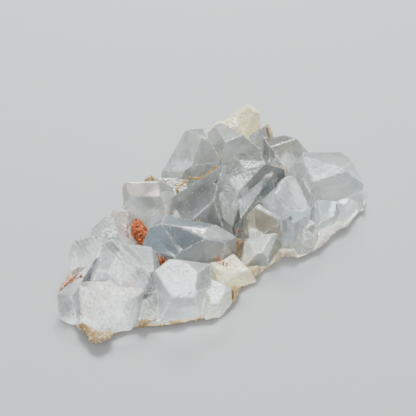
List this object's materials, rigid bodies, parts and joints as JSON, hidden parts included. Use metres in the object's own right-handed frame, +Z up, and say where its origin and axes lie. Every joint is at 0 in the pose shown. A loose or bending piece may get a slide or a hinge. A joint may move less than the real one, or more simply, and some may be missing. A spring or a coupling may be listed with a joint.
{
  "type": "celestite cluster",
  "caption": "Cluster of blocky, see-through grey-blue crystals crowded on a thin crust of tan rock, with cream calcite, a milky rim and rust-red clay in the crevices.",
  "frame": {"origin": "under the middle of the cluster's box, on the flat underside of the rock crust", "axes": "+X along the cluster's length, +Y across it, +Z up from the underside through the crystals"},
  "size_m": [0.0924, 0.049, 0.0254],
  "materials": {
    "celestite_blue": "clear steel-blue crystal",
    "celestite_white": "hazy pale crystal with bright faces",
    "celestite_grey": "clear grey crystal with a lilac cast",
    "celestite_clear": "clear pale grey-blue crystal",
    "celestite_warm": "clear brownish grey crystal",
    "celestite_milky": "milky white to lilac crystal",
    "calcite": "satin cream mineral",
    "clay": "dull rust-red earth",
    "rock": "rough tan rock"
  },
  "bodies": {
    "root": {"blue_blade": "celestite_blue", "front_prisms": "celestite_white", "big_back_crystal": "celestite_grey", "centre_crystals": "celestite_clear", "east_crystals": "celestite_clear", "south_east_crystals": "celestite_warm", "west_crystals": "celestite_grey", "far_west_crystals": "celestite_milky", "cream_calcite": "calcite", "milky_rim": "celestite_milky", "cream_chunk": "calcite", "rust_clay_west": "clay", "rust_clay_middle": "clay", "rust_clay_far_west": "clay", "rust_clay_centre": "clay", "rust_clay_east": "clay", "tan_sliver": "rock", "rock_crust": "rock"}
  },
  "joints": []
}
